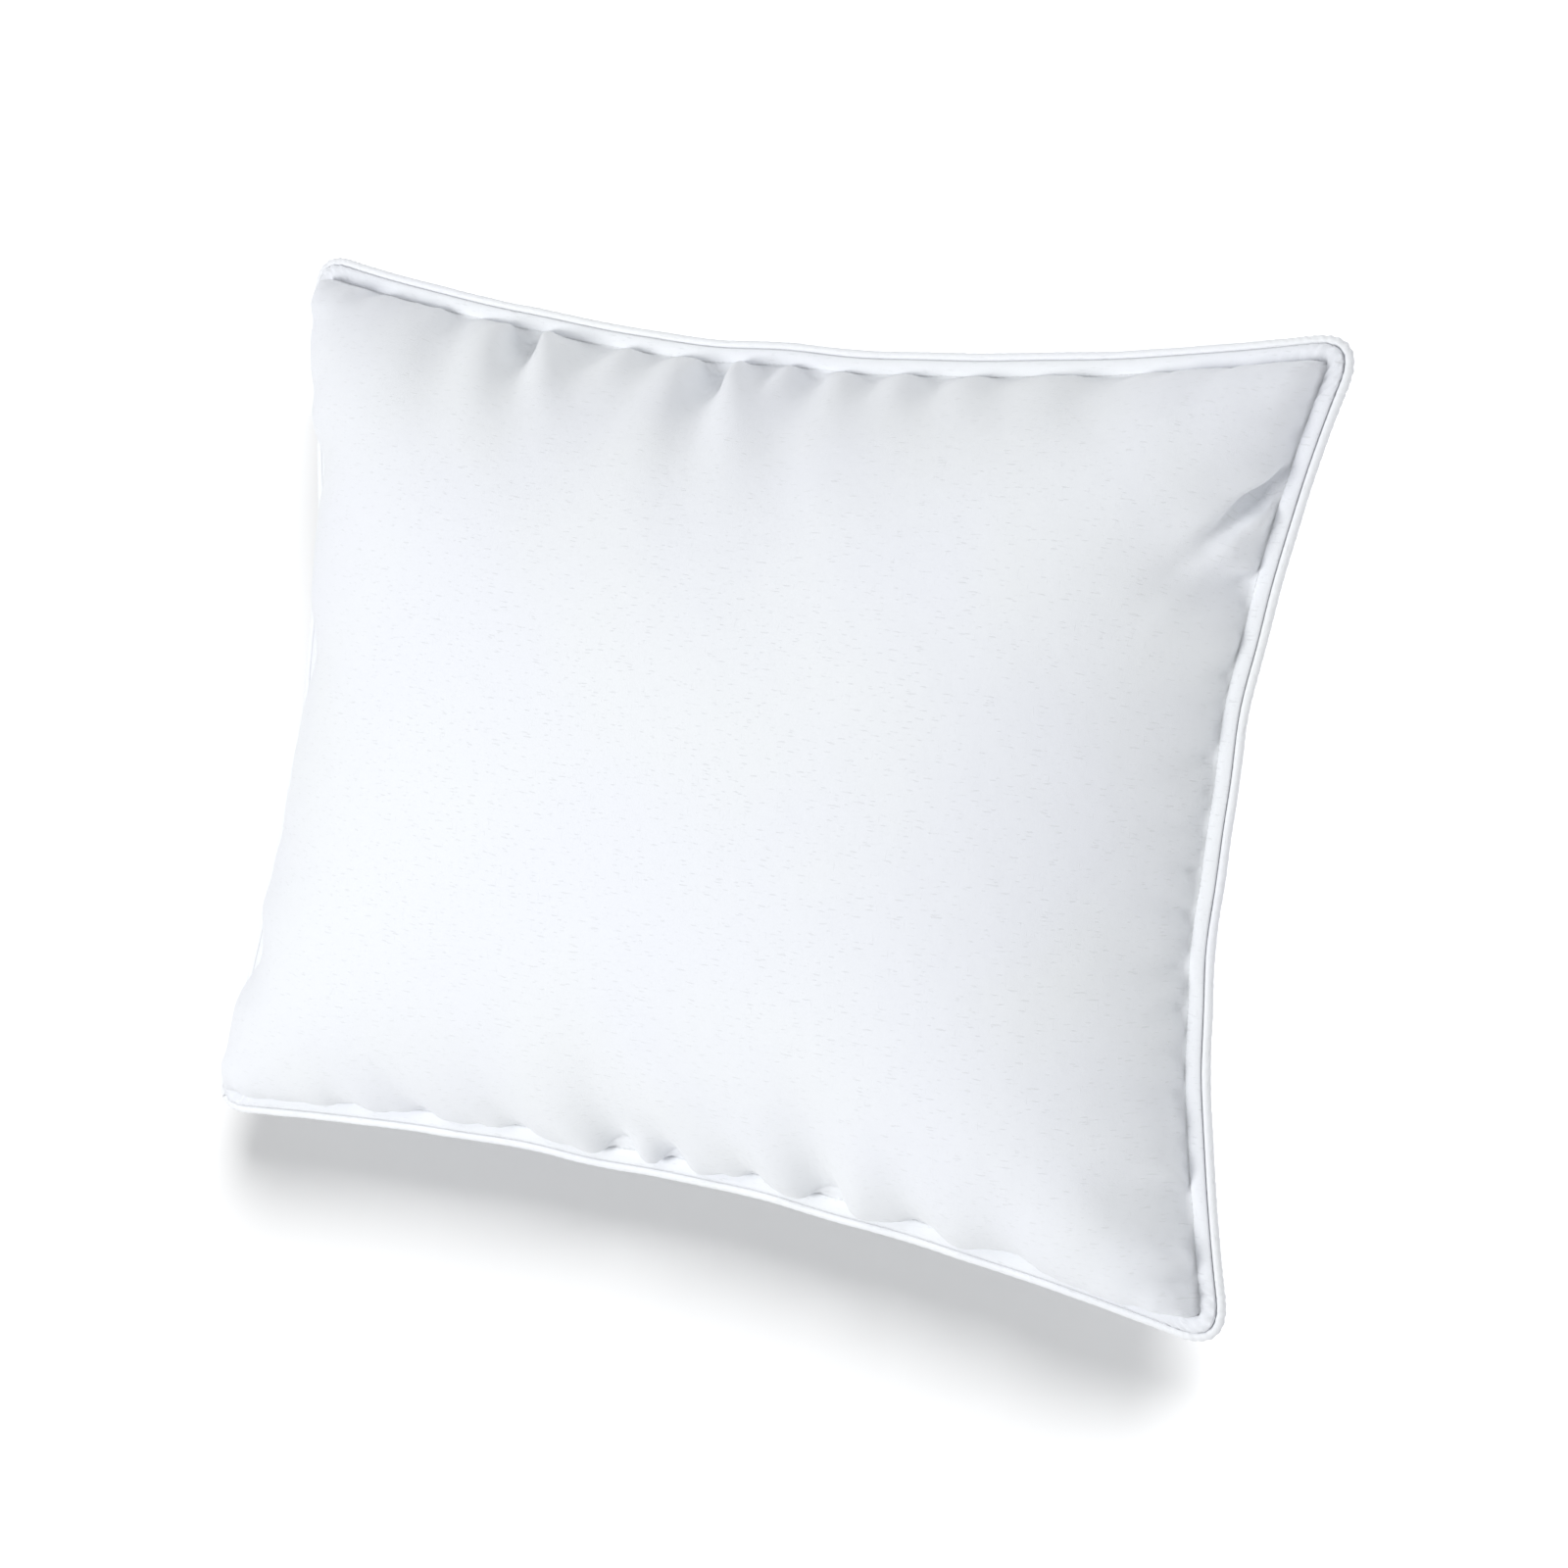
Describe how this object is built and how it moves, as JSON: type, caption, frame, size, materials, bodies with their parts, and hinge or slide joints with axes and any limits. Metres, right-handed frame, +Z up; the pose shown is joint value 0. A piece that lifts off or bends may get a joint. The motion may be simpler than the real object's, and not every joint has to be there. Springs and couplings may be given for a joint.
{
  "type": "bed pillow",
  "caption": "Plump rectangular bed pillow with two ticking panels, a flat stitched flange and corded piping round its edge, lying face up.",
  "frame": {"origin": "middle of the flat patch on the underside, where the pillow rests", "axes": "+Z up through the pillow's thickness, +X along its long edges, +Y along its short edges"},
  "size_m": [0.6182, 0.4722, 0.17],
  "materials": {
    "ticking": "fine plain-woven white cotton ticking with small slubs and a soft, faint sheen",
    "piping": "bias-cut tape of the same white cotton, wrapped round a cord",
    "fibre": "loose white polyester fibre",
    "filler_cord": "soft twisted cotton cord",
    "thread": "white spun polyester sewing thread"
  },
  "bodies": {
    "root": {"front_panel": "ticking", "back_panel": "ticking", "fibre_fill": "fibre", "piping_tape": "piping", "piping_filler_cord": "filler_cord", "topstitch_needle_thread": "thread", "topstitch_bobbin_thread": "thread", "closing_thread": "thread"}
  },
  "joints": []
}
